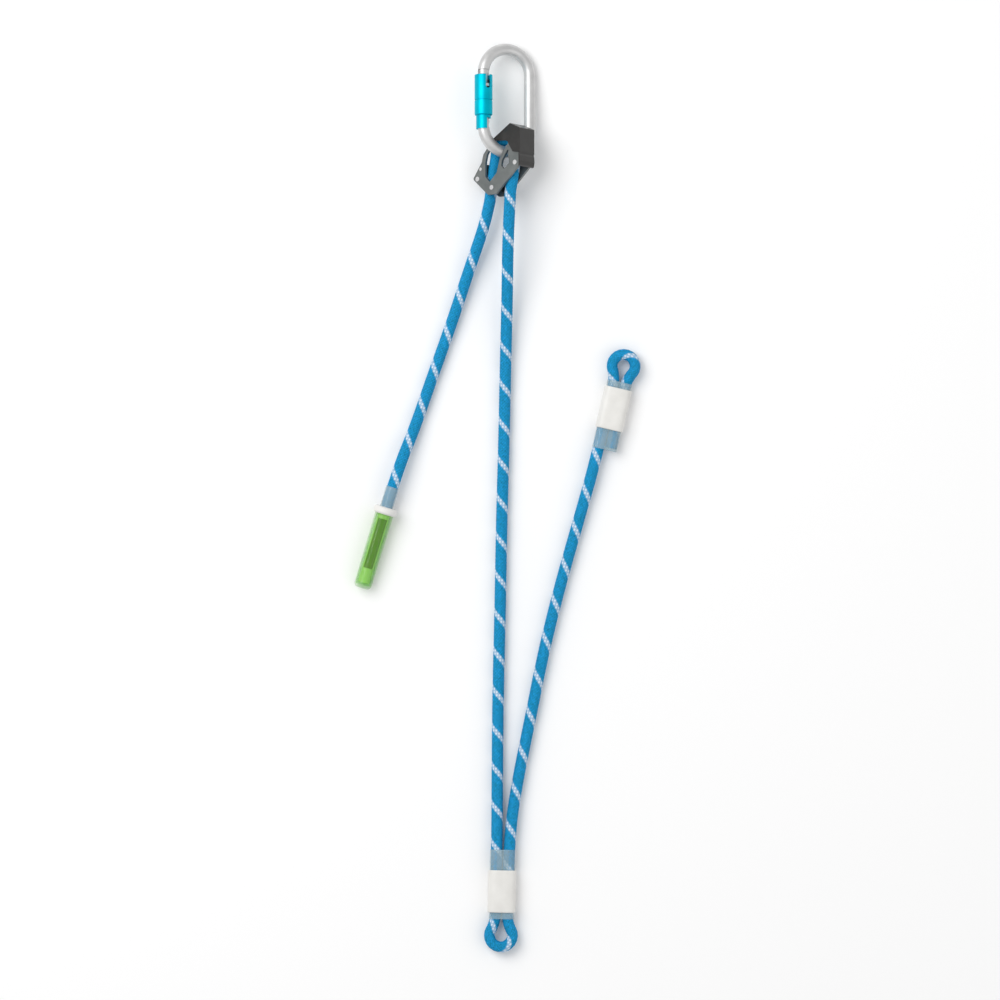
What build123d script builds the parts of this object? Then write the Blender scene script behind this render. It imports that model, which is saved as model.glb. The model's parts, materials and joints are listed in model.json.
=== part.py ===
"""Rope lanyard with an adjuster (rope grab), laid flat.

Millimetres. +Z is up from the surface the lanyard lies on, +Y runs from the
adjuster towards the top of the connector, +X is to the right.
"""

import os
from math import acos, atan2, cos, pi, radians, sin, tan

from build123d import *

# ---------------------------------------------------------------- driving dimensions

# Rope and connector stock
rope_diameter = 11.0
rope_radius = rope_diameter / 2
wire_radius = 5.5

# How the hardware lies: all of it is pitched, the two pieces are rolled apart
wire_low_point = (2.01, -28.75, 25.884)
pitch_angle = 7.5
connector_roll = 25.0
adjuster_roll = 41.0

# Connector (oval, measured on the wire's centreline)
oval_radius = 24.2
oval_half_straight = 25.3
gate_foot = -27.0
gate_top = 28.5
gate_room = 18.7
hinge_height = -22.0
hinge_radius = 4.4
lug_thickness = 4.8
nose_tongue = 3.6
nose_root = 2.0
nose_width = 7.0
nose_thickness = 3.2
nose_edge = 0.8

# Gate, with its spring and plunger inside
gate_radius = 4.6
gate_head_radius = 5.3
gate_head_height = 4.2
gate_head_drop = 0.4
hinge_boss_radius = 4.5
hinge_boss_half_width = 3.6
hinge_play = 0.2
nose_play = 0.3
nose_headroom = 0.8
spring_pocket_radius = 2.2
spring_pocket_length = 14.0
plunger_lift = 0.3
plunger_head_radius = 1.9
plunger_head_length = 3.0
plunger_stem_radius = 1.0
plunger_stem_length = 2.5
gate_spring_turns = 5
gate_spring_pitch = 1.9
gate_spring_radius = 2.1
gate_spring_bore = 1.2
gate_spring_wire = 0.9

# Locking sleeve and the collar it slides over
sleeve_top = 23.5
sleeve_groove = -1.8
sleeve_foot = -15.5
sleeve_radius = 8.5
sleeve_bore = 7.4
sleeve_rim = 0.8
groove_width = 1.1
groove_depth = 0.6
lip_height = 4.0
lip_drop = 5.0
lip_bore = 5.0
notch_middle = (0.9, 18.0)
notch_length = 16.0
notch_width = 4.6
ring_height = 12.0
ring_width = 2.6
ring_radius = 7.1
ring_bore = 4.7
sleeve_spring_foot = -8.8
sleeve_spring_turns = 7
sleeve_spring_pitch = 3.0
sleeve_spring_radius = 6.5
sleeve_spring_bore = 5.4
sleeve_spring_wire = 1.1
collar_top = -11.0
collar_foot = -28.6
collar_radius = 7.0
collar_bore = 5.8
collar_seat = 3.0
collar_seat_radius = 6.8
collar_opening_side = 0.6
collar_opening_height = 10.4

# Adjuster: two side plates with the rope between them
rope_gap = 13.0
plate_thickness = 2.5
plate_corner_radius = 2.2
window_corner_radius = 0.9
hood_thickness = 1.6
hood_edge_radius = 3.0
hood_edge_length = 20.0
guard_corner_radius = 0.8
bend_radius = 12.4
plate_face = rope_gap / 2 + plate_thickness
hood_face = plate_face + hood_thickness

plate_corners = [
    (-34.6, -23.5), (-15.7, -40.3), (-5.6, -40.3), (23.8, -14.7), (23.8, 18.6),
    (13.6, 23.6), (-9.4, 12.6), (-21.6, -1.0), (-23.6, -8.4),
]
front_window = [
    (-17.0, -1.5), (-8.3, 10.2), (-2.5, 14.8), (7.2, 13.2), (10.4, 8.2), (3.6, -1.3),
    (-1.2, -8.0), (-4.8, -20.0), (-13.8, -28.2), (-19.0, -22.5), (-19.0, -9.0),
]
rear_window = [
    (-17.0, -1.5), (-8.3, 10.2), (-2.5, 14.8), (11.5, 14.8), (16.0, 9.0), (14.0, -2.0),
    (6.0, -9.0), (-4.8, -20.0), (-13.8, -28.2), (-19.0, -22.5), (-19.0, -9.0),
]
curved_slot = [
    (13.0, 6.0), (6.4, -2.4), (1.9, -8.8), (0.8, -14.0), (4.2, -17.6), (10.6, -12.4),
    (10.4, -8.0), (8.8, -3.4),
]
front_hood_corners = [
    (-7.4, 13.0), (13.3, 25.6), (25.6, 20.0), (25.6, -3.4), (16.5, -2.0), (12.2, 4.6),
    (10.4, 8.2), (8.4, 9.4), (2.0, 9.9), (-5.4, 10.8),
]
rear_hood_corners = [
    (-8.4, 13.8), (13.3, 25.6), (25.6, 20.0), (25.6, -3.4), (16.5, -2.0), (12.2, 4.6),
    (10.4, 8.2), (7.2, 13.2), (-2.5, 14.8),
]
hood_wall_corners = [
    (25.6, 20.0), (25.6, -3.4), (24.9, -4.6), (25.5, -6.5), (25.9, -11.5), (25.2, -15.6),
    (24.0, -16.6), (24.0, 18.9), (13.6, 23.8), (13.3, 25.6),
]
guard_corners = [
    (-22.9, -9.4), (-21.4, -10.6), (-24.4, -27.0), (-27.4, -29.0), (-32.8, -23.6),
]
rivet_places = [(-28.4, -23.9), (-10.6, -33.7), (18.6, -12.4)]
guard_rivet_place = (-24.4, -14.8)
bush_places = rivet_places[1:]
rivet_radius = 1.6
rivet_head_radius = 2.3
rivet_head_height = 0.9
guard_rivet_radius = 1.1
bush_radius = 2.5
rivet_play = 0.03

# Where the two rope legs leave the adjuster, in its own mid-plane
main_leg_end = (4.8, -38.0)
tail_leg_end = (-21.0, -44.0)
tail_lead_in = 42.0

# Sewn eyes: distances from the eye's centre towards the splice
eye_rope_radius = 5.2
eye_radius = 10.9
eye_flare = 28.0
strand_offset = 5.65
eye_leg_end = 35.0
shrink_start = 15.5
shrink_end = 81.6
cover_start = 21.7
cover_end = 62.0
shrink_wall = 0.7
cover_wall = 1.4
strand_play = 0.15
termination_height = 8.2
bottom_eye_centre = (-3.4, -773.2, termination_height)
bottom_eye_tilt = 1.2
upper_eye_centre = (113.3, -231.5, termination_height)
upper_eye_tilt = 13.0
strand_entry = 92.0
cut_end = 78.5

# Stopper handle on the tail
handle_origin = (-113.3, -369.2, 11.7)
handle_direction = (-0.2915, -0.9566, -0.036)
flange_radius = 11.4
flange_thickness = 7.0
flange_edge_radius = 2.6
handle_radius = 8.9
handle_end_radius = 8.4
handle_length = 77.0
handle_wall = 1.3
handle_end_wall = 3.6
handle_end_rounding = 4.0
tail_core_length = 71.0
label_start = 8.0
label_length = 49.0
label_radius = 6.3
label_thickness = 0.4
label_half_angle = 44.0
tail_shrink_length = 20.0
tail_shrink_wall = 0.7

# Free rope routes, from one end to the other
main_arm_route = [
    (3.2, -108.0, 32.4), (2.6, -165.0, 16.5), (0.9, -232.0, 6.2), (-0.4, -300.0, 5.7),
    (-2.7, -378.0, 5.7), (-4.1, -462.0, 5.7), (-6.2, -545.0, 5.7), (-6.9, -622.0, 5.9),
]
second_arm_route = [
    (11.6, -630.0, 5.8), (24.9, -565.0, 5.7), (38.3, -498.0, 5.7),
    (54.6, -434.0, 5.7), (70.9, -377.0, 5.8),
]
tail_route = [
    (-17.6, -94.0, 17.4), (-32.6, -137.0, 9.6), (-51.4, -194.0, 5.8), (-69.4, -244.0, 5.7),
    (-85.6, -291.0, 6.0),
]
arc_share = 0.45

os.makedirs("parts", exist_ok=True)


# ---------------------------------------------------------------- reference planes

def rolled_plane(roll):
    """Plane through the wire's low point, pitched about X and rolled about its own Y."""
    pitched = Vector(0, sin(radians(pitch_angle)), cos(radians(pitch_angle)))
    across = Vector(1, 0, 0)
    x_dir = across * cos(radians(roll)) + pitched * sin(radians(roll))
    z_dir = pitched * cos(radians(roll)) - across * sin(radians(roll))
    return Plane(origin=wire_low_point, x_dir=x_dir, z_dir=z_dir)


def lying_plane(centre, tilt):
    """Plane flat on the ground whose +Y leans by tilt from the row's +Y towards +X."""
    return Plane(origin=centre, x_dir=(cos(radians(tilt)), -sin(radians(tilt)), 0), z_dir=(0, 0, 1))


adjuster = rolled_plane(adjuster_roll)
low_wire = rolled_plane(-connector_roll)
connector_centre = low_wire.from_local_coords((0, oval_radius + oval_half_straight, 0))
connector = Plane(origin=connector_centre, x_dir=low_wire.x_dir, z_dir=low_wire.z_dir)
gate_axis = Plane(
    origin=connector.from_local_coords((-oval_radius, 0, 0)),
    x_dir=connector.x_dir,
    z_dir=connector.y_dir,
)
hinge_plane = Plane(
    origin=connector.from_local_coords((-oval_radius, hinge_height, 0)),
    x_dir=connector.x_dir,
    z_dir=connector.z_dir,
)
bottom_eye_plane = lying_plane(bottom_eye_centre, bottom_eye_tilt)
upper_eye_plane = lying_plane(upper_eye_centre, 180 + upper_eye_tilt)
handle_plane = Plane(origin=handle_origin, x_dir=(1, -0.3047, 0), z_dir=handle_direction)


def along_gate(height):
    return gate_axis.offset(height)


def save(piece, name):
    piece.part.label = name
    export_step(piece.part, f"parts/{name}.step")


# ---------------------------------------------------------------- connector

def make_carabiner_body():
    spine_foot = (oval_radius, -oval_half_straight)
    spine_top = (oval_radius, oval_half_straight)
    gate_side_top = (-oval_radius, oval_half_straight)
    gate_side_foot = (-oval_radius, -oval_half_straight)
    top_of_oval = (0, oval_half_straight + oval_radius)
    foot_of_oval = (0, -oval_half_straight - oval_radius)
    with BuildPart() as body:
        with BuildLine(connector) as oval:
            Line(spine_foot, spine_top)
            ThreePointArc(spine_top, top_of_oval, gate_side_top)
            Line(gate_side_top, gate_side_foot)
            ThreePointArc(gate_side_foot, foot_of_oval, spine_foot)
        section = Plane(
            origin=connector.from_local_coords((*spine_foot, 0)),
            x_dir=connector.x_dir,
            z_dir=connector.y_dir,
        )
        with BuildSketch(section):
            Circle(wire_radius)
        sweep(path=oval.wire())
        # room for the gate
        with BuildSketch(along_gate(gate_foot)):
            Rectangle(gate_room, gate_room)
        extrude(amount=gate_top - gate_foot, mode=Mode.SUBTRACT)
        # hinge lug and nose tongue, both flat and centred in the wire
        with BuildSketch(hinge_plane):
            Circle(hinge_radius)
            with Locations((0, -hinge_radius)):
                Rectangle(2 * hinge_radius, 2 * hinge_radius)
            Circle(rivet_radius, mode=Mode.SUBTRACT)
        extrude(amount=lug_thickness / 2, both=True)
        with BuildSketch(along_gate(gate_top - nose_tongue)):
            Rectangle(nose_width, nose_thickness)
            fillet(vertices(), nose_edge)
        extrude(amount=nose_tongue + nose_root)
    save(body, "carabiner_body")


def make_gate():
    with BuildPart() as gate:
        with BuildSketch(along_gate(hinge_height)):
            Circle(gate_radius)
        extrude(amount=gate_top - gate_head_height - hinge_height)
        with BuildSketch(along_gate(gate_top - gate_head_height - gate_head_drop)):
            Circle(gate_head_radius)
        extrude(amount=gate_head_height)
        with BuildSketch(hinge_plane):
            Circle(hinge_boss_radius)
        extrude(amount=hinge_boss_half_width, both=True)
        # fork for the hinge lug, slot for the nose tongue, pocket for the spring
        with BuildSketch(hinge_plane):
            with Locations((0, -gate_radius)):
                Rectangle(gate_room, 2 * (gate_radius + hinge_radius + 0.5))
        extrude(amount=lug_thickness / 2 + hinge_play, both=True, mode=Mode.SUBTRACT)
        with BuildSketch(along_gate(gate_top - nose_tongue - nose_headroom)):
            Rectangle(gate_room, nose_thickness + 2 * nose_play)
        extrude(amount=nose_tongue + nose_root, mode=Mode.SUBTRACT)
        with BuildSketch(along_gate(hinge_height + hinge_radius)):
            Circle(spring_pocket_radius)
        extrude(amount=spring_pocket_length, mode=Mode.SUBTRACT)
        with BuildSketch(hinge_plane):
            Circle(rivet_radius + rivet_play)
        extrude(amount=2 * gate_radius, both=True, mode=Mode.SUBTRACT)
    save(gate, "gate")


def make_gate_hinge_pin():
    with BuildPart() as pin:
        with BuildSketch(hinge_plane):
            Circle(rivet_radius)
        extrude(amount=gate_radius - 0.5, both=True)
    save(pin, "gate_hinge_pin")


def make_gate_spring_and_plunger():
    plunger_foot = hinge_height + hinge_radius + plunger_lift
    stem_foot = plunger_foot + plunger_head_length
    with BuildPart() as plunger:
        with BuildSketch(along_gate(plunger_foot)):
            Circle(plunger_head_radius)
        extrude(amount=plunger_head_length)
        with BuildSketch(along_gate(stem_foot)):
            Circle(plunger_stem_radius)
        extrude(amount=plunger_stem_length)
    save(plunger, "gate_plunger")
    with BuildPart() as spring:
        for turn in range(gate_spring_turns):
            with BuildSketch(along_gate(stem_foot + 0.1 + turn * gate_spring_pitch)):
                Circle(gate_spring_radius)
                Circle(gate_spring_bore, mode=Mode.SUBTRACT)
            extrude(amount=gate_spring_wire)
    save(spring, "gate_spring")


# ---------------------------------------------------------------- locking sleeve

def make_locking_sleeve():
    with BuildPart() as sleeve:
        with BuildSketch(along_gate(sleeve_foot)):
            Circle(sleeve_radius)
            Circle(sleeve_bore, mode=Mode.SUBTRACT)
        extrude(amount=sleeve_top - sleeve_foot)
        outer_rims = sleeve.edges().filter_by(GeomType.CIRCLE).group_by(SortBy.RADIUS)[-1]
        fillet(outer_rims, sleeve_rim)
        # top lip that closes on the gate, and the groove round the middle
        with BuildSketch(along_gate(sleeve_top - lip_drop)):
            Circle(sleeve_bore + 0.1)
            Circle(lip_bore, mode=Mode.SUBTRACT)
        extrude(amount=lip_height)
        with BuildSketch(along_gate(sleeve_groove)):
            Circle(sleeve_radius + 1.0)
            Circle(sleeve_radius - groove_depth, mode=Mode.SUBTRACT)
        extrude(amount=groove_width, mode=Mode.SUBTRACT)
        # long notch that shows the gate
        notch_across, notch_height = notch_middle
        notch = Plane(
            origin=along_gate(notch_height).origin, x_dir=connector.x_dir, z_dir=connector.z_dir
        )
        with BuildSketch(notch):
            with Locations((notch_across, 0)):
                SlotOverall(notch_length, notch_width, rotation=90)
        extrude(amount=sleeve_radius + 2.0, mode=Mode.SUBTRACT)
    save(sleeve, "locking_sleeve")


def make_sleeve_ring():
    with BuildPart() as ring:
        with BuildSketch(along_gate(ring_height)):
            Circle(ring_radius)
            Circle(ring_bore, mode=Mode.SUBTRACT)
        extrude(amount=ring_width)
    save(ring, "sleeve_ring")


def make_sleeve_spring():
    with BuildPart() as spring:
        for turn in range(sleeve_spring_turns):
            with BuildSketch(along_gate(sleeve_spring_foot + turn * sleeve_spring_pitch)):
                Circle(sleeve_spring_radius)
                Circle(sleeve_spring_bore, mode=Mode.SUBTRACT)
            extrude(amount=sleeve_spring_wire)
    save(spring, "sleeve_spring")


def make_hinge_collar():
    with BuildPart() as collar:
        with BuildSketch(along_gate(collar_foot)):
            Circle(collar_radius)
            Circle(collar_bore, mode=Mode.SUBTRACT)
        extrude(amount=collar_top - collar_foot)
        with BuildSketch(along_gate(collar_top - collar_seat)):
            Circle(collar_seat_radius)
            Circle(gate_radius, mode=Mode.SUBTRACT)
        extrude(amount=collar_seat)
        # the inner side is open so that the gate can fold in past the hinge
        with BuildSketch(along_gate(collar_foot)):
            with Locations((collar_opening_side, 0)):
                Rectangle(
                    2 * collar_radius, 4 * collar_radius,
                    align=(Align.MIN, Align.CENTER),
                )
        extrude(amount=collar_opening_height, mode=Mode.SUBTRACT)
    save(collar, "hinge_collar")


# ---------------------------------------------------------------- adjuster

def make_side_plate(name, windows, inner_face):
    with BuildPart() as plate:
        with BuildSketch(adjuster.offset(inner_face)):
            Polygon(*plate_corners, align=None)
            fillet(vertices(), plate_corner_radius)
            with Locations(*rivet_places):
                Circle(rivet_radius + rivet_play, mode=Mode.SUBTRACT)
            with Locations(guard_rivet_place):
                Circle(guard_rivet_radius + rivet_play, mode=Mode.SUBTRACT)
        extrude(amount=plate_thickness)
        for window in windows:
            with BuildSketch(adjuster.offset(inner_face)):
                Polygon(*window, align=None)
                fillet(vertices(), window_corner_radius)
            extrude(amount=plate_thickness, mode=Mode.SUBTRACT)
    save(plate, name)


def make_hood():
    with BuildPart() as hood:
        for face, corners in ((plate_face, front_hood_corners), (-hood_face, rear_hood_corners)):
            with BuildSketch(adjuster.offset(face)):
                Polygon(*corners, align=None)
            extrude(amount=hood_thickness)
        # side wall and sloping top wall join the two faces
        with BuildSketch(adjuster.offset(-hood_face)):
            Polygon(*hood_wall_corners, align=None)
        extrude(amount=2 * hood_face)
        with BuildSketch(adjuster.offset(-hood_face)):
            Polygon(*rear_window, align=None)
        extrude(amount=hood_thickness, mode=Mode.SUBTRACT)
        long_edges = hood.edges().filter_by(lambda edge: edge.length > hood_edge_length)
        far_side = long_edges.sort_by(Axis(adjuster.origin, adjuster.x_dir))
        fillet(far_side[-2:], hood_edge_radius)
    save(hood, "hood")


def make_rope_guard():
    with BuildPart() as guard:
        with BuildSketch(adjuster.offset(-rope_gap / 2)):
            Polygon(*guard_corners, align=None)
            fillet(vertices(), guard_corner_radius)
            with Locations(rivet_places[0]):
                Circle(rivet_radius + rivet_play, mode=Mode.SUBTRACT)
            with Locations(guard_rivet_place):
                Circle(guard_rivet_radius + rivet_play, mode=Mode.SUBTRACT)
        extrude(amount=rope_gap)
    save(guard, "rope_guard")


def make_rivets(name, places, shaft_radius, head_radius):
    """Round-headed rivets through both plates, one solid each."""
    with BuildPart() as rivets:
        with BuildSketch(adjuster):
            with Locations(*places):
                Circle(shaft_radius)
        extrude(amount=plate_face, both=True)
        for face in (plate_face, -plate_face - rivet_head_height):
            with BuildSketch(adjuster.offset(face)):
                with Locations(*places):
                    Circle(head_radius)
            extrude(amount=rivet_head_height)
    save(rivets, name)


def make_spacer_bushes():
    with BuildPart() as bushes:
        with BuildSketch(adjuster.offset(-rope_gap / 2)):
            with Locations(*bush_places):
                Circle(bush_radius)
                Circle(rivet_radius + rivet_play, mode=Mode.SUBTRACT)
        extrude(amount=rope_gap)
    save(bushes, "spacer_bushes")


# ---------------------------------------------------------------- rope

def run_radii(points):
    """Arc radius at each corner of a route, as large as its two runs allow."""
    corners = [Vector(*point) for point in points]
    radii = []
    for before, corner, after in zip(corners, corners[1:], corners[2:]):
        turn = (corner - before).get_angle(after - corner)
        shorter = min((corner - before).length, (after - corner).length)
        radii.append(arc_share * shorter / tan(radians(turn / 2)))
    return radii


def make_rope(name, points):
    radii = run_radii(points)
    with BuildPart() as rope:
        with BuildLine() as route:
            FilletPolyline(*points, radius=radii)
        path = route.wire()
        with BuildSketch(Plane(origin=path @ 0, z_dir=path % 0)):
            Circle(rope_radius)
        sweep(path=path)
    swept = pi * rope_radius**2 * path.length
    print(name, "length", round(path.length, 1), "volume ratio", round(rope.part.volume / swept, 4))
    print("  radii", [round(radius) for radius in radii])
    save(rope, name)


def tangent_angle(end):
    """Angle, about the wire, of the point where a leg to end leaves the bend."""
    x, y = end
    spread = acos(bend_radius / (x * x + y * y) ** 0.5)
    return atan2(y, x) + (spread if x > 0 else -spread)


def on_bend(angle):
    return (bend_radius * cos(angle), bend_radius * sin(angle))


def make_rope_bight():
    """The rope's U-turn round the connector's wire, inside the adjuster."""
    main_side = on_bend(tangent_angle(main_leg_end))
    tail_side = on_bend(tangent_angle(tail_leg_end))
    with BuildPart() as bight:
        with BuildLine(adjuster) as route:
            Line(main_leg_end, main_side)
            ThreePointArc(main_side, (0, bend_radius), tail_side)
            Line(tail_side, tail_leg_end)
        path = route.wire()
        start = adjuster.from_local_coords((*main_leg_end, 0))
        toward = adjuster.from_local_coords((*main_side, 0)) - start
        with BuildSketch(Plane(origin=start, z_dir=toward)):
            Circle(rope_radius)
        sweep(path=path)
    save(bight, "rope_bight")


def make_eye_rope(name, place):
    """Rope eye: two parallel strands that flare into a round loop."""
    flare = radians(eye_flare)
    wide = eye_radius * cos(flare)
    high = eye_radius * sin(flare)
    flare_radius = (wide - strand_offset) / (1 - cos(flare))
    leave = high + flare_radius * sin(flare)
    middle = strand_offset + flare_radius * (1 - cos(flare / 2))
    middle_height = leave - flare_radius * sin(flare / 2)
    with BuildPart() as eye:
        with BuildLine(place) as loop:
            Line((-strand_offset, eye_leg_end), (-strand_offset, leave))
            ThreePointArc((-strand_offset, leave), (-middle, middle_height), (-wide, high))
            ThreePointArc((-wide, high), (0, -eye_radius), (wide, high))
            ThreePointArc((wide, high), (middle, middle_height), (strand_offset, leave))
            Line((strand_offset, leave), (strand_offset, eye_leg_end))
        start = place.from_local_coords((-strand_offset, eye_leg_end, 0))
        with BuildSketch(Plane(origin=start, z_dir=-place.y_dir)):
            Circle(eye_rope_radius)
        sweep(path=loop.wire())
    save(eye, name)


def splice_plane(place, distance):
    """Plane square to the two strands, at a distance from the eye's centre."""
    return Plane(
        origin=place.from_local_coords((0, distance, 0)), x_dir=place.x_dir, z_dir=place.y_dir
    )


def make_splice_tube(name, place, start, end, inner_radius, wall):
    """Flat tube round two strands side by side."""
    spread = 2 * strand_offset
    with BuildPart() as tube:
        with BuildSketch(splice_plane(place, start)):
            SlotCenterToCenter(spread, 2 * (inner_radius + wall))
            SlotCenterToCenter(spread, 2 * inner_radius, mode=Mode.SUBTRACT)
        extrude(amount=end - start)
    save(tube, name)


def make_termination(prefix, place):
    shrink_bore = rope_radius + strand_play
    make_eye_rope(f"{prefix}_eye_rope", place)
    make_splice_tube(f"{prefix}_shrink_sleeve", place, shrink_start, shrink_end, shrink_bore, shrink_wall)
    cover_bore = shrink_bore + shrink_wall
    make_splice_tube(f"{prefix}_cover_sleeve", place, cover_start, cover_end, cover_bore, cover_wall)


def strand_point(place, side, distance):
    """Point on one strand's centreline, at a distance from the eye's centre."""
    point = place.from_local_coords((side * strand_offset, distance, 0))
    return (point.X, point.Y, point.Z)


def make_cut_strand():
    """Short end of the rope, sewn beside the standing strand of the upper eye."""
    with BuildPart() as strand:
        with BuildSketch(splice_plane(upper_eye_plane, eye_leg_end)):
            with Locations((-strand_offset, 0)):
                Circle(rope_radius)
        extrude(amount=cut_end - eye_leg_end)
    save(strand, "cut_strand")


# ---------------------------------------------------------------- stopper handle

def along_handle(distance):
    return handle_plane.offset(distance)


def make_handle():
    with BuildPart() as tube:
        with BuildSketch(along_handle(flange_thickness / 2)):
            Circle(handle_radius)
        with BuildSketch(along_handle(handle_length)):
            Circle(handle_end_radius)
        loft()
        closed_end = tube.edges().sort_by(Axis(handle_origin, handle_direction))[-1]
        fillet(closed_end, handle_end_rounding)
        with BuildSketch(along_handle(flange_thickness / 2)):
            Circle(handle_radius - handle_wall)
        extrude(amount=handle_length - flange_thickness / 2 - handle_end_wall, mode=Mode.SUBTRACT)
    save(tube, "stopper_handle")

    with BuildPart() as flange:
        with BuildSketch(along_handle(-flange_thickness / 2)):
            Circle(flange_radius)
            Circle(rope_radius + tail_shrink_wall + strand_play, mode=Mode.SUBTRACT)
        extrude(amount=flange_thickness)
        fillet(flange.edges().filter_by(GeomType.CIRCLE).group_by(SortBy.RADIUS)[-1], flange_edge_radius)
    save(flange, "handle_flange")


def make_tail_core():
    with BuildPart() as core:
        with BuildSketch(along_handle(0)):
            Circle(rope_radius)
        extrude(amount=tail_core_length)
    save(core, "tail_core")


def make_handle_label():
    """Curved film over the top of the core, under the tube."""
    label_side = label_radius * cos(radians(label_half_angle))
    with BuildPart() as label:
        with BuildSketch(along_handle(label_start)):
            Circle(label_radius)
            Circle(label_radius - label_thickness, mode=Mode.SUBTRACT)
            with Locations((0, label_side)):
                Rectangle(
                    3 * label_radius, 3 * label_radius,
                    align=(Align.CENTER, Align.MAX), mode=Mode.SUBTRACT,
                )
        extrude(amount=label_length)
    save(label, "handle_label")


def make_tail_shrink():
    with BuildPart() as shrink:
        with BuildSketch(along_handle(-flange_thickness / 2 - tail_shrink_length)):
            Circle(rope_radius + tail_shrink_wall + strand_play)
            Circle(rope_radius + strand_play, mode=Mode.SUBTRACT)
        extrude(amount=tail_shrink_length)
    save(shrink, "tail_shrink_sleeve")


# ---------------------------------------------------------------- build

make_carabiner_body()
make_gate()
make_gate_hinge_pin()
make_gate_spring_and_plunger()
make_locking_sleeve()
make_sleeve_ring()
make_sleeve_spring()
make_hinge_collar()
make_side_plate("front_side_plate", [front_window, curved_slot], rope_gap / 2)
make_side_plate("rear_side_plate", [rear_window], -plate_face)
make_hood()
make_rope_guard()
make_rivets("plate_rivets", rivet_places, rivet_radius, rivet_head_radius)
make_rivets("guard_rivet", [guard_rivet_place], guard_rivet_radius, rivet_radius)
make_spacer_bushes()

main_leg = adjuster.from_local_coords((*main_leg_end, 0))
tail_leg = adjuster.from_local_coords((*tail_leg_end, 0))
handle_axis = Vector(*handle_direction).normalized()
tail_end = Vector(*handle_origin)
tail_entry = tail_end - handle_axis * tail_lead_in
make_rope_bight()
make_rope(
    "main_arm_rope",
    [
        (main_leg.X, main_leg.Y, main_leg.Z), *main_arm_route,
        strand_point(bottom_eye_plane, -1, strand_entry), strand_point(bottom_eye_plane, -1, eye_leg_end),
    ],
)
make_rope(
    "second_arm_rope",
    [
        strand_point(bottom_eye_plane, 1, eye_leg_end), strand_point(bottom_eye_plane, 1, strand_entry),
        *second_arm_route,
        strand_point(upper_eye_plane, 1, strand_entry), strand_point(upper_eye_plane, 1, eye_leg_end),
    ],
)
make_rope(
    "tail_rope",
    [
        (tail_leg.X, tail_leg.Y, tail_leg.Z), *tail_route,
        (tail_entry.X, tail_entry.Y, tail_entry.Z), (tail_end.X, tail_end.Y, tail_end.Z),
    ],
)
make_termination("bottom", bottom_eye_plane)
make_termination("upper", upper_eye_plane)
make_cut_strand()
make_handle()
make_tail_core()
make_handle_label()
make_tail_shrink()
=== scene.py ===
"""Rope lanyard with an adjuster: looks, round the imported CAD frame. Metres, +Z up."""

import json

import bmesh
import bpy
import numpy as np
from math import cos, pi, radians, sin, tau
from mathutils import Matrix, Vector, noise


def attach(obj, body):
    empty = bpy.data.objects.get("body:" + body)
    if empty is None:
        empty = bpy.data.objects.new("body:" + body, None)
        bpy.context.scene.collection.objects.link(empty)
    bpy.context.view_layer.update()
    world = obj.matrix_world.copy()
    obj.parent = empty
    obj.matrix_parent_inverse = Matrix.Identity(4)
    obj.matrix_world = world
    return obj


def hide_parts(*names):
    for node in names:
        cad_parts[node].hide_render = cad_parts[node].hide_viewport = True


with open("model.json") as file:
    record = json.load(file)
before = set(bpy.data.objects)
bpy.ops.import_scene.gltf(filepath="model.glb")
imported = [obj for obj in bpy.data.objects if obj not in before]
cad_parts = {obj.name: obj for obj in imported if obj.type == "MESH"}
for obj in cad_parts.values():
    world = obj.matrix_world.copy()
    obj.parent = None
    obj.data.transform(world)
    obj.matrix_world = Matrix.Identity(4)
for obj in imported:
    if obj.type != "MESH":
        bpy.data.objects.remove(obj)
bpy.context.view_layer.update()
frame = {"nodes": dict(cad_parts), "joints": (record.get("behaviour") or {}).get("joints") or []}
nodes = frame["nodes"]
joints = {joint["name"]: joint for joint in frame["joints"]}

# ---------------------------------------------------------------- driving dimensions

ROPE_RADIUS = 0.0055
EYE_ROPE_RADIUS = 0.0052

# Braided sheath: strands each way, length of one turn, strands in the tracer band
STRANDS = 12
STRAND_SIDES = 4
LAY_LENGTH = 0.0365
TRACER_STRANDS = 2
TRACER_LEAD = 0.0182
TRACER_SHARE_UNDER = 0.45

# Sheath mesh: height of a strand, the share of it inside the rope's radius, the lap of
# neighbouring stretches, and the tracer and crown values at the middle of a cut end
RELIEF = 0.00035
RELIEF_INSIDE = 0.8
CROWN_LEAST = 0.55
RING_STEP = 0.00076
END_LAP = 0.0004
END_ANGLE = radians(65.0)
END_SHADE = 0.9
LINE_RESOLUTION = 48
SAME_PLACE = 1e-7

# Sewn eyes and their sleeves, as in the CAD model
STRAND_OFFSET = 0.00565
EYE_RADIUS = 0.0109
EYE_FLARE = radians(28.0)
EYE_LEG_END = 0.035
SHRINK_START, SHRINK_END = 0.0155, 0.0816
COVER_START, COVER_END = 0.0217, 0.062
SHRINK_BORE, SHRINK_WALL, COVER_WALL = 0.00565, 0.0007, 0.0014
BOTTOM_EYE = (Vector((-0.0034, -0.7732, 0.0082)), radians(1.2))
UPPER_EYE = (Vector((0.1133, -0.2315, 0.0082)), radians(193.0))
CUT_END = 0.0785
EYE_FLARE_STEPS, EYE_LOOP_STEPS = 12, 24

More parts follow.
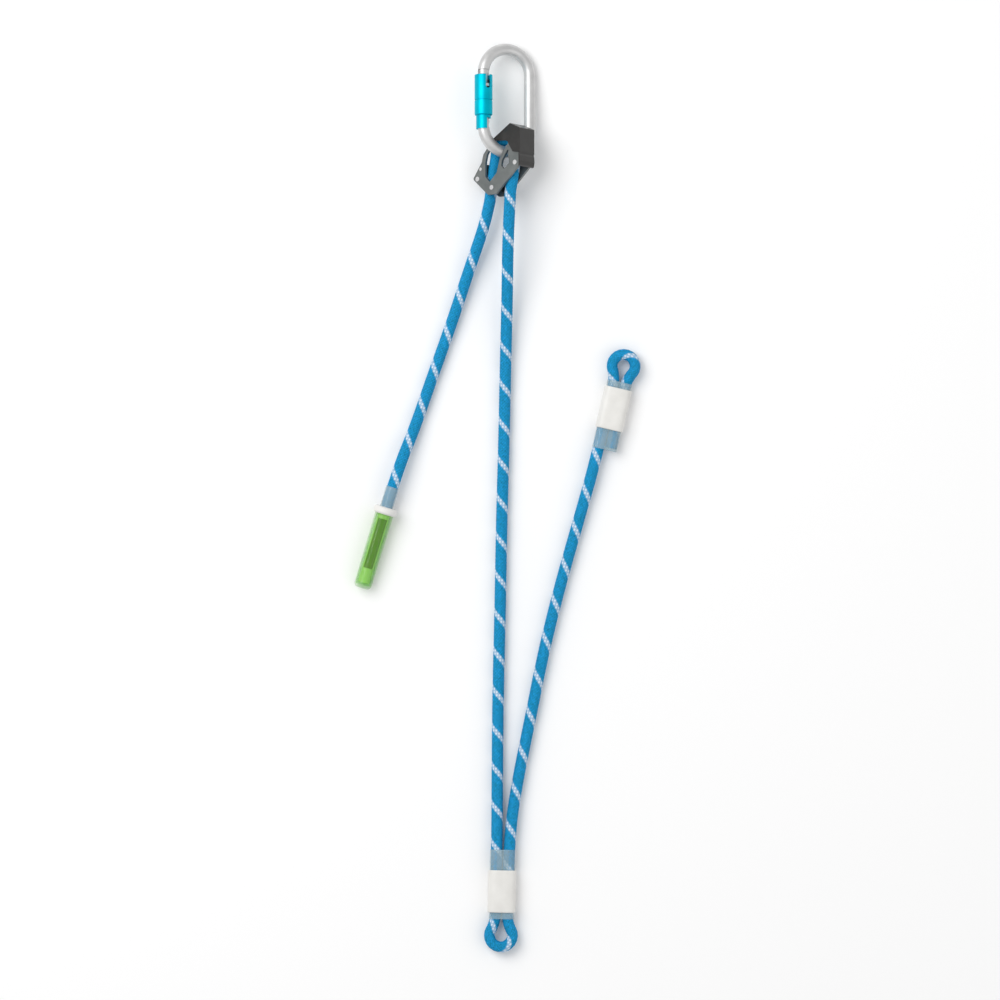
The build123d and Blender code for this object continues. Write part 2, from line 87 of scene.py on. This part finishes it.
# Sleeve mesh: points round it, ring spacing, lips as (distance, share of the wall),
# bore, waist, and the lumps over the stitching
SLEEVE_SIDES = 96
SLEEVE_RING_STEP = 0.0011
SLEEVE_LIP = 0.002
LIP_SHAPE = [(0.0, 1.0), (0.0, 0.45), (0.0004, 0.12), (0.0012, 0.0)]
BORE_INSET = 0.0003
BORE_DEPTH = 1.02
SIDE_SHARPNESS = 3.0
WAIST = 0.06
LUMP_HEIGHT = 0.00016
LUMP_ACROSS, LUMP_ALONG = 160.0, 110.0
SHRINK_LUMPS, COVER_LUMPS = 3.0, 9.0

# Bend of the rope round the connector's wire, in the adjuster's mid-plane
BEND_RADIUS = 0.0124
MAIN_LEG_END = Vector((0.0048, -0.038))
TAIL_LEG_END = Vector((-0.021, -0.044))
BEND_STEPS = 40

# Stopper handle
HANDLE_ORIGIN = Vector((-0.1133, -0.3692, 0.0117))
HANDLE_AXIS = Vector((-0.2915, -0.9566, -0.036)).normalized()
TAIL_CORE_LENGTH = 0.071

# Free rope routes, from one end to the other
MAIN_ARM = [
    (0.0056, -0.0660, 0.0340), (0.0032, -0.1080, 0.0324), (0.0026, -0.1650, 0.0165),
    (0.0009, -0.2320, 0.0062), (-0.0004, -0.3000, 0.0057), (-0.0027, -0.3780, 0.0057),
    (-0.0041, -0.4620, 0.0057), (-0.0062, -0.5450, 0.0057), (-0.0069, -0.6220, 0.0059),
    (-0.0071, -0.6811, 0.0082), (-0.0083, -0.7381, 0.0082),
]
SECOND_ARM = [
    (0.0030, -0.7383, 0.0082), (0.0042, -0.6813, 0.0082), (0.0116, -0.6300, 0.0058),
    (0.0249, -0.5650, 0.0057), (0.0383, -0.4980, 0.0057), (0.0546, -0.4340, 0.0057),
    (0.0709, -0.3770, 0.0058), (0.0871, -0.3199, 0.0082), (0.0999, -0.2643, 0.0082),
]
TAIL = [
    (-0.0138, -0.0742, 0.0180), (-0.0176, -0.0940, 0.0174), (-0.0326, -0.1370, 0.0096),
    (-0.0514, -0.1940, 0.0058), (-0.0694, -0.2440, 0.0057), (-0.0856, -0.2910, 0.0060),
    (-0.1011, -0.3290, 0.0132), (-0.1133, -0.3692, 0.0117),
]

# Floor, light and camera
MIDDLE = (0.0, -0.35, 0.0)
FLOOR_SIZE, FLOOR_DROP = 12.0, 0.0002
LAMP_SIZE = 2.0
KEY_PLACE, KEY_POWER = (-1.4, 0.8, 2.3), 52.0
FILL_PLACE, FILL_POWER = (1.7, -0.9, 1.8), 8.0
WORLD_STRENGTH = 0.62
CAMERA_PLACE = (-0.0043, -0.359, 12.0)
VIEW_WIDTH = 0.952
SENSOR_WIDTH = 36.0
VIEW_LIMIT = 50.0


# ---------------------------------------------------------------- materials

# Yarn colours from the bottom of a stitch to its crown: darker towards the bottom as painted shade
# between the stitches, brighter at the crown as painted light on the stitch tops
BLUE_YARN_WITH_PAINTED_SHADE = [
    (0.0, (0.0, 0.07, 0.2)), (0.4, (0.001, 0.23, 0.4)),
    (0.65, (0.004, 0.24, 0.54)), (1.0, (0.01, 0.36, 0.7)),
]
WHITE_YARN_WITH_PAINTED_SHADE = [(0.0, (0.16, 0.3, 0.45)), (0.5, (0.5, 0.62, 0.76)), (1.0, (0.72, 0.79, 0.86))]

# Weight of the blotches in the blue, and what is taken off the crown to make room for them
BLOTCH_SHARE = 1.3
CROWN_DROP = 0.78


def new_material(name):
    material = bpy.data.materials.new(name)
    material.use_nodes = True
    return material, material.node_tree.nodes["Principled BSDF"]


def set_inputs(node, inputs):
    for key, value in inputs.items():
        node.inputs[key.replace("_", " ")].default_value = value


def noise_node(tree, scale, detail=3.0, stretch=(1.0, 1.0, 1.0)):
    """Noise in object space, so that it stays on the piece as it moves."""
    place = tree.nodes.new("ShaderNodeTexCoord")
    mapping = tree.nodes.new("ShaderNodeMapping")
    mapping.inputs["Scale"].default_value = stretch
    texture = tree.nodes.new("ShaderNodeTexNoise")
    set_inputs(texture, {"Scale": scale, "Detail": detail})
    tree.links.new(place.outputs["Object"], mapping.inputs["Vector"])
    tree.links.new(mapping.outputs["Vector"], texture.inputs["Vector"])
    return texture


def ramp_node(tree, source, stops):
    """Colour ramp from (position, colour) stops."""
    ramp = tree.nodes.new("ShaderNodeValToRGB")
    elements = ramp.color_ramp.elements
    while len(elements) < len(stops):
        elements.new(0.5)
    for element, (position, colour) in zip(elements, stops):
        element.position = position
        element.color = (*colour, 1.0)
    tree.links.new(source, ramp.inputs["Fac"])
    return ramp


def range_node(tree, source, low, high):
    mapped = tree.nodes.new("ShaderNodeMapRange")
    set_inputs(mapped, {"To Min": low, "To Max": high})
    tree.links.new(source, mapped.inputs["Value"])
    return mapped


def bump_node(tree, shader, height, strength, distance):
    bump = tree.nodes.new("ShaderNodeBump")
    set_inputs(bump, {"Strength": strength, "Distance": distance})
    tree.links.new(height, bump.inputs["Height"])
    tree.links.new(bump.outputs["Normal"], shader.inputs["Normal"])


def metal_material(name, dark, light, roughness, metallic, grain=2600.0, bump=0.15, coat=0.0):
    """Metal with cloudy tone, uneven roughness and a fine blasted grain."""
    material, shader = new_material(name)
    tree = material.node_tree
    set_inputs(shader, {"Metallic": metallic, "Coat Weight": coat})
    clouds = noise_node(tree, 95.0, 5.0)
    tone = ramp_node(tree, clouds.outputs["Fac"], [(0.3, dark), (0.7, light)])
    tree.links.new(tone.outputs["Color"], shader.inputs["Base Color"])
    patches = noise_node(tree, 320.0, 4.0)
    rough = range_node(tree, patches.outputs["Fac"], roughness - 0.08, roughness + 0.08)
    tree.links.new(rough.outputs["Result"], shader.inputs["Roughness"])
    grains = noise_node(tree, grain, 2.0)
    bump_node(tree, shader, grains.outputs["Fac"], bump, 0.0002)
    return material


def plastic_material(name, dark, light, roughness, **extra):
    """Plastic with slight tone drift and moulding ripple."""
    material, shader = new_material(name)
    tree = material.node_tree
    set_inputs(shader, extra)
    clouds = noise_node(tree, 60.0, 3.0)
    tone = ramp_node(tree, clouds.outputs["Fac"], [(0.3, dark), (0.7, light)])
    tree.links.new(tone.outputs["Color"], shader.inputs["Base Color"])
    shine = noise_node(tree, 240.0, 3.0)
    rough = range_node(tree, shine.outputs["Fac"], roughness * 0.75, roughness * 1.25)
    tree.links.new(rough.outputs["Result"], shader.inputs["Roughness"])
    ripple = noise_node(tree, 420.0, 2.0)
    bump_node(tree, shader, ripple.outputs["Fac"], 0.12, 0.0003)
    return material


def attribute_node(tree, name):
    node = tree.nodes.new("ShaderNodeAttribute")
    node.attribute_name = name
    return node


def yarn_shade(tree, crown):
    """Crown height with fine blotches added, as the place on the blue colour ramp, which paints shade
    low between the stitches and light on their crowns.
    """
    blotches = noise_node(tree, 480.0, 3.0)
    shade = tree.nodes.new("ShaderNodeMath")
    shade.operation = "MULTIPLY_ADD"
    shade.inputs[1].default_value = BLOTCH_SHARE
    tree.links.new(blotches.outputs["Fac"], shade.inputs[0])
    lowered = tree.nodes.new("ShaderNodeMath")
    lowered.operation = "SUBTRACT"
    lowered.inputs[1].default_value = CROWN_DROP
    tree.links.new(crown.outputs["Fac"], lowered.inputs[0])
    tree.links.new(lowered.outputs["Value"], shade.inputs[2])
    return shade


def rope_material():
    """Polyester sheath: blue yarns, white tracer yarns, with painted shade between the stitches and
    painted light on their crowns.
    """
    material, shader = new_material("braided_rope")
    tree = material.node_tree
    set_inputs(shader, {"Roughness": 0.8, "Specular IOR Level": 0.25})
    tracer = attribute_node(tree, "tracer")
    crown = attribute_node(tree, "crown")
    shade = yarn_shade(tree, crown)
    # Both ramps paint shade between the stitches and light on their crowns, driven by crown height
    blue = ramp_node(tree, shade.outputs["Value"], BLUE_YARN_WITH_PAINTED_SHADE)
    white = ramp_node(tree, crown.outputs["Fac"], WHITE_YARN_WITH_PAINTED_SHADE)
    mix = tree.nodes.new("ShaderNodeMix")
    mix.data_type = "RGBA"
    tree.links.new(tracer.outputs["Fac"], mix.inputs["Factor"])
    tree.links.new(blue.outputs["Color"], mix.inputs["A"])
    tree.links.new(white.outputs["Color"], mix.inputs["B"])
    tree.links.new(mix.outputs["Result"], shader.inputs["Base Color"])
    fibre = noise_node(tree, 1800.0, 3.0, (1.0, 0.35, 1.0))
    bump_node(tree, shader, fibre.outputs["Fac"], 0.35, 0.0003)
    return material


silver = metal_material("matte_silver", (0.56, 0.56, 0.56), (0.67, 0.67, 0.665), 0.46, 0.75)
bright = metal_material("polished_steel", (0.78, 0.78, 0.8), (0.9, 0.9, 0.9), 0.22, 0.9, 900.0, 0.05)
cyan = metal_material("cyan_anodised", (0.0, 0.44, 0.58), (0.0, 0.52, 0.67), 0.52, 0.96, 1800.0, 0.08)
grey_plate = metal_material("grey_anodised", (0.13, 0.143, 0.142), (0.18, 0.193, 0.19), 0.42, 0.45)
dark_hood = metal_material(
    "dark_hood", (0.016, 0.015, 0.014), (0.024, 0.023, 0.022), 0.4, 0.3, coat=0.3
)
black_plastic = plastic_material("black_plastic", (0.008, 0.012, 0.012), (0.018, 0.022, 0.02), 0.5)
white_plastic = plastic_material("white_sleeve", (0.7, 0.69, 0.66), (0.77, 0.76, 0.73), 0.42)
clear_film = plastic_material(
    "clear_shrink", (0.36, 0.52, 0.58), (0.46, 0.61, 0.66), 0.24, Alpha=0.34, Coat_Weight=0.4
)
green_tube = plastic_material(
    "green_tube", (0.11, 0.5, 0.003), (0.16, 0.56, 0.01), 0.2, Alpha=0.26, Coat_Weight=0.4
)
# A purple-brown film, because the green tube in front of it turns that to dark green-brown
label_film = plastic_material("label_film", (0.06, 0.003, 0.04), (0.09, 0.006, 0.055), 0.7)
core_wrap = plastic_material("core_wrap", (0.52, 0.82, 0.27), (0.6, 0.88, 0.34), 0.45)
dark_steel = metal_material("dark_steel", (0.012, 0.016, 0.02), (0.022, 0.027, 0.03), 0.45, 0.5)
rope_braid = rope_material()

FINISHES = {
    "carabiner_body": silver, "gate": silver, "gate_hinge_pin": bright, "gate_plunger": bright,
    "gate_spring": bright, "sleeve_spring": bright, "locking_sleeve": cyan, "hinge_collar": cyan,
    "sleeve_ring": silver, "front_side_plate": grey_plate, "rear_side_plate": grey_plate,
    "hood": dark_hood, "rope_guard": black_plastic, "plate_rivets": bright, "guard_rivet": bright,
    "spacer_bushes": dark_steel, "stopper_handle": green_tube, "handle_flange": white_plastic,
    "handle_label": label_film, "tail_shrink_sleeve": clear_film,
}


def finish_cad_nodes():
    for name, material in FINISHES.items():
        nodes[name].data.materials.clear()
        nodes[name].data.materials.append(material)


# ---------------------------------------------------------------- rope

def link(obj):
    bpy.context.scene.collection.objects.link(obj)
    return obj


def smooth_line(name, points):
    """Points along the NURBS line that a route's points control."""
    curve = bpy.data.curves.new(name + "_line", "CURVE")
    curve.dimensions = "3D"
    spline = curve.splines.new("NURBS")
    spline.points.add(len(points) - 1)
    for control, point in zip(spline.points, points):
        control.co = (*point, 1.0)
    spline.order_u = 3
    spline.use_endpoint_u = True
    spline.resolution_u = LINE_RESOLUTION
    holder = link(bpy.data.objects.new(name + "_line", curve))
    mesh = bpy.data.meshes.new_from_object(holder)
    line = [vertex.co.copy() for vertex in mesh.vertices]
    bpy.data.objects.remove(holder)
    bpy.data.meshes.remove(mesh)
    return line


def even_rings(line):
    """The same line at even steps, with the distance of each ring along it."""
    knots = np.array([tuple(point) for point in line])
    spans = np.linalg.norm(np.diff(knots, axis=0), axis=1)
    keep = np.concatenate([[True], spans > SAME_PLACE])
    knots = knots[keep]
    along = np.concatenate([[0.0], np.cumsum(np.linalg.norm(np.diff(knots, axis=0), axis=1))])
    count = max(4, round(along[-1] / RING_STEP)) + 1
    steps = np.linspace(0.0, along[-1], count)
    rings = np.stack([np.interp(steps, along, knots[:, axis]) for axis in range(3)], axis=1)
    return rings, steps


def ring_frames(rings, first_side):
    """Tangent and a side direction at each ring, carried along without twist."""
    tangents = np.gradient(rings, axis=0)
    tangents /= np.linalg.norm(tangents, axis=1)[:, None]
    sides = np.empty_like(rings)
    side = np.array(first_side)
    for index, tangent in enumerate(tangents):
        side = side - tangent * side.dot(tangent)
        side /= np.linalg.norm(side)
        sides[index] = side
    return tangents, sides


def braid(angles, distances):
    """Crown height, from 0 to 1, and tracer share at each angle and distance."""
    rising = STRANDS * (angles / tau + distances / LAY_LENGTH)
    falling = STRANDS * (angles / tau - distances / LAY_LENGTH)
    rising_index = np.floor(rising)
    over = (rising_index + np.floor(falling)) % 2 == 0
    across = np.where(over, rising - np.floor(rising), falling - np.floor(falling))
    lengthwise = np.where(over, falling - np.floor(falling), rising - np.floor(rising))
    crown = np.sqrt(np.sin(pi * across)) * (CROWN_LEAST + (1 - CROWN_LEAST) * np.sin(pi * lengthwise))
    in_band = (rising_index % STRANDS) < TRACER_STRANDS
    tracer = np.where(in_band, np.where(over, 1.0, TRACER_SHARE_UNDER), 0.0)
    return crown, tracer


def tube_faces(ring_count, around):
    """Quads along a tube of rings, then a fan at each end round a hub vertex."""
    faces = []
    last = ring_count - 1
    for ring in range(last):
        for step in range(around):
            here = ring * around + step
            beside = ring * around + (step + 1) % around
            faces.append((here, beside, beside + around, here + around))
    first_hub = ring_count * around
    last_hub = first_hub + 1
    for step in range(around):
        beside = (step + 1) % around
        faces.append((first_hub, beside, step))
        faces.append((last_hub, last * around + step, last * around + beside))
    return faces


def braided_piece(name, line, radius, material, start, first_side):
    """Closed braided tube along line. Returns it with the distance and side at its end."""
    rings, steps = even_rings(line)
    tangents, sides = ring_frames(rings, first_side)
    rings[0] -= tangents[0] * END_LAP
    rings[-1] += tangents[-1] * END_LAP
    uprights = np.cross(tangents, sides)
    around = STRANDS * STRAND_SIDES
    angles = np.arange(around) * tau / around
    grid_angle, grid_distance = np.meshgrid(angles, steps + start)
    crown, tracer = braid(grid_angle, grid_distance)
    reach = radius - RELIEF * RELIEF_INSIDE + RELIEF * crown
    outward = (
        sides[:, None, :] * np.cos(grid_angle)[:, :, None]
        + uprights[:, None, :] * np.sin(grid_angle)[:, :, None]
    )
    places = rings[:, None, :] + outward * reach[:, :, None]
    vertices = [*places.reshape(-1, 3), rings[0], rings[-1]]
    mesh = bpy.data.meshes.new(name)
    mesh.from_pydata([tuple(vertex) for vertex in vertices], [], tube_faces(len(rings), around))
    for attribute, values in (("tracer", tracer), ("crown", crown)):
        layer = mesh.attributes.new(attribute, "FLOAT", "POINT")
        layer.data.foreach_set("value", [*values.reshape(-1), END_SHADE, END_SHADE])
    mesh.shade_smooth()
    mesh.set_sharp_from_angle(angle=END_ANGLE)
    mesh.materials.append(material)
    piece = link(bpy.data.objects.new(name, mesh))
    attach(piece, "adjuster")
    return piece, start + steps[-1], sides[-1]


def eye_line(eye):
    """Line of a sewn eye: down one strand, round the loop and back up the other."""
    wide = EYE_RADIUS * cos(EYE_FLARE)
    high = EYE_RADIUS * sin(EYE_FLARE)
    flare_radius = (wide - STRAND_OFFSET) / (1 - cos(EYE_FLARE))
    leave = high + flare_radius * sin(EYE_FLARE)
    half = [(STRAND_OFFSET, EYE_LEG_END)]
    for share in np.linspace(0.0, 1.0, EYE_FLARE_STEPS):
        angle = EYE_FLARE * share
        x = STRAND_OFFSET + flare_radius * (1 - cos(angle))
        half.append((x, leave - flare_radius * sin(angle)))
    for share in np.linspace(0.0, 1.0, EYE_LOOP_STEPS)[1:]:
        angle = EYE_FLARE - (EYE_FLARE + pi / 2) * share
        half.append((EYE_RADIUS * cos(angle), EYE_RADIUS * sin(angle)))
    loop = half + [(-x, y) for x, y in reversed(half[:-1])]
    return [eye_point(eye, x, y) for x, y in loop]


def eye_point(eye, x, y, z=0.0):
    """A point in the row frame from an eye's own across, along and up distances."""
    centre, turn = eye
    across = Vector((cos(turn), -sin(turn), 0.0))
    along = Vector((sin(turn), cos(turn), 0.0))
    return centre + across * x + along * y + Vector((0.0, 0.0, z))


def adjuster_axes():
    """The adjuster's across and up directions and the point that the connector swings about."""
    swing = joints["connector_swing"]
    outward = Vector(swing["axis"]).normalized()
    up = Vector(joints["sleeve_turn"]["axis"]).normalized()
    return up.cross(outward).normalized(), up, Vector(swing["pos_m"])


def touch_angle(leg_end, side):
    """Angle where the straight leg from leg_end touches the bend, on its side 1 or -1."""
    return np.arctan2(leg_end.y, leg_end.x) + side * np.arccos(BEND_RADIUS / leg_end.length)


def bight_line():
    """The rope's U-turn, from the main leg's end to the tail leg's end."""
    across, up, centre = adjuster_axes()
    angles = np.linspace(touch_angle(MAIN_LEG_END, 1), touch_angle(TAIL_LEG_END, -1) + tau, BEND_STEPS)
    bend = [Vector((cos(angle), sin(angle))) * BEND_RADIUS for angle in angles]
    flat = [MAIN_LEG_END, *bend, TAIL_LEG_END]
    return [centre + across * point.x + up * point.y for point in flat]


def make_rope():
    """One continuous rope, cut where its CAD nodes are cut, so its braid runs through."""
    main_line = smooth_line("main_arm", MAIN_ARM)
    second_line = smooth_line("second_arm", SECOND_ARM)
    tail_line = smooth_line("tail", TAIL)
    cut_line = [eye_point(UPPER_EYE, -STRAND_OFFSET, along) for along in (CUT_END, EYE_LEG_END)]
    core_line = [HANDLE_ORIGIN, HANDLE_ORIGIN + HANDLE_AXIS * TAIL_CORE_LENGTH]
    stretches = [
        ("cut_strand", cut_line, ROPE_RADIUS, rope_braid),
        ("upper_eye_rope", eye_line(UPPER_EYE)[::-1], EYE_ROPE_RADIUS, rope_braid),
        ("second_arm_rope", second_line[::-1], ROPE_RADIUS, rope_braid),
        ("bottom_eye_rope", eye_line(BOTTOM_EYE), EYE_ROPE_RADIUS, rope_braid),
        ("main_arm_rope", main_line[::-1], ROPE_RADIUS, rope_braid),
        ("rope_bight", bight_line(), ROPE_RADIUS, rope_braid),
        ("tail_rope", tail_line, ROPE_RADIUS, rope_braid),
        ("tail_core", core_line, ROPE_RADIUS, core_wrap),
    ]
    made = {}
    distance = TRACER_LEAD
    side = (0.0, 0.0, 1.0)
    for node, line, radius, material in stretches:
        piece, distance, side = braided_piece(
            node + "_braid", line, radius, material, distance, side,
        )
        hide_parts(node)
        made[node] = piece
    return made, main_line, second_line, tail_line


# ---------------------------------------------------------------- splice sleeves

def slot_outline(reach):
    """Points round a slot shape of two half circles, drawn in slightly at its waist."""
    points = []
    for index in range(SLEEVE_SIDES):
        angle = tau * index / SLEEVE_SIDES
        x = reach * cos(angle)
        y = reach * sin(angle)
        shift = STRAND_OFFSET * np.tanh(SIDE_SHARPNESS * cos(angle))
        waist = 1.0 - WAIST * (1.0 - abs(np.tanh(SIDE_SHARPNESS * cos(angle))))
        points.append((x + shift, y * waist))
    return points


def sleeve_rows(length, wall):
    """Rings as (distance, height over the outer face): outer face with lips, and bore."""
    lip = [(distance, -share * wall) for distance, share in LIP_SHAPE]
    distances = np.arange(SLEEVE_LIP, length - SLEEVE_LIP, SLEEVE_RING_STEP)
    middle = [(distance, 0.0) for distance in distances]
    outer = lip + middle + [(length - distance, drop) for distance, drop in reversed(lip)]
    depth = -wall * BORE_DEPTH
    return outer, [(length - BORE_INSET, depth), (BORE_INSET, depth)]


def lump_height(x, distance, y, seed):
    """Height of the stitching's lumps at a place on the sleeve."""
    place = Vector((x * LUMP_ACROSS, distance * LUMP_ALONG, y * LUMP_ACROSS + seed))
    return LUMP_HEIGHT * noise.noise(place)


def sleeve_faces(row_count):
    """Quads between neighbouring rows, the last row joined to the first."""
    faces = []
    for row in range(row_count):
        here = row * SLEEVE_SIDES
        after = (row + 1) % row_count * SLEEVE_SIDES
        for step in range(SLEEVE_SIDES):
            beside = (step + 1) % SLEEVE_SIDES
            faces.append((here + step, here + beside, after + beside, after + step))
    return faces


def splice_sleeve(name, eye, start, end, reach, wall, node, material, seed):
    """Shrunk sleeve over two strands: soft lips, slight lumps over the stitching."""
    outer, inner = sleeve_rows(end - start, wall)
    rows = outer + inner
    vertices = []
    for row, (distance, drop) in enumerate(rows):
        middle = eye_point(eye, 0.0, start + distance)
        for x, y in slot_outline(reach + drop):
            place = eye_point(eye, x, start + distance, y)
            if row < len(outer):
                place += (place - middle).normalized() * lump_height(x, distance, y, seed)
            vertices.append(place)
    mesh = bpy.data.meshes.new(name)
    mesh.from_pydata([tuple(vertex) for vertex in vertices], [], sleeve_faces(len(rows)))
    mesh.validate()
    shape = bmesh.new()
    shape.from_mesh(mesh)
    bmesh.ops.recalc_face_normals(shape, faces=shape.faces)
    shape.to_mesh(mesh)
    shape.free()
    mesh.shade_smooth()
    mesh.materials.append(material)
    piece = link(bpy.data.objects.new(name, mesh))
    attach(piece, "adjuster")
    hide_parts(node)
    return piece


def make_splices():
    made = {}
    shrink_reach = SHRINK_BORE + SHRINK_WALL
    cover_reach = shrink_reach + COVER_WALL
    for seed, (prefix, eye) in enumerate((("bottom", BOTTOM_EYE), ("upper", UPPER_EYE))):
        made[prefix + "_shrink"] = splice_sleeve(
            prefix + "_shrink_film", eye, SHRINK_START, SHRINK_END, shrink_reach, SHRINK_WALL,
            prefix + "_shrink_sleeve", clear_film, SHRINK_LUMPS + seed,
        )
        made[prefix + "_cover"] = splice_sleeve(
            prefix + "_cover_tube", eye, COVER_START, COVER_END, cover_reach, COVER_WALL,
            prefix + "_cover_sleeve", white_plastic, COVER_LUMPS + seed,
        )
    return made


# ---------------------------------------------------------------- floor, light and camera

def make_stage():
    bpy.ops.mesh.primitive_plane_add(size=FLOOR_SIZE, location=(*MIDDLE[:2], -FLOOR_DROP))
    floor = bpy.context.object
    floor.name = "floor"
    material, shader = new_material("pale_floor")
    set_inputs(shader, {"Base Color": (0.93, 0.93, 0.93, 1.0), "Roughness": 0.9})
    floor.data.materials.append(material)


def area_light(name, place, power):
    data = bpy.data.lights.new(name, "AREA")
    data.size = LAMP_SIZE
    data.energy = power
    lamp = link(bpy.data.objects.new(name, data))
    lamp.location = place
    lamp.rotation_euler = (Vector(MIDDLE) - Vector(place)).to_track_quat("-Z", "Y").to_euler()


def make_light():
    area_light("key_light", KEY_PLACE, KEY_POWER)
    area_light("fill_light", FILL_PLACE, FILL_POWER)
    world = bpy.data.worlds.new("studio")
    world.use_nodes = True
    background = world.node_tree.nodes["Background"]
    set_inputs(background, {"Color": (1.0, 1.0, 1.0, 1.0), "Strength": WORLD_STRENGTH})
    bpy.context.scene.world = world
    bpy.context.scene.view_settings.view_transform = "Standard"


def make_camera():
    """Straight down on the laid-out lanyard, from far enough to look nearly flat."""
    data = bpy.data.cameras.new("camera")
    data.sensor_width = SENSOR_WIDTH
    data.lens = SENSOR_WIDTH * CAMERA_PLACE[2] / VIEW_WIDTH
    data.clip_end = VIEW_LIMIT
    camera = link(bpy.data.objects.new("camera", data))
    camera.location = CAMERA_PLACE
    bpy.context.scene.camera = camera


make_camera()
rope, main_line, second_line, tail_line = make_rope()
splices = make_splices()
finish_cad_nodes()
make_stage()
make_light()
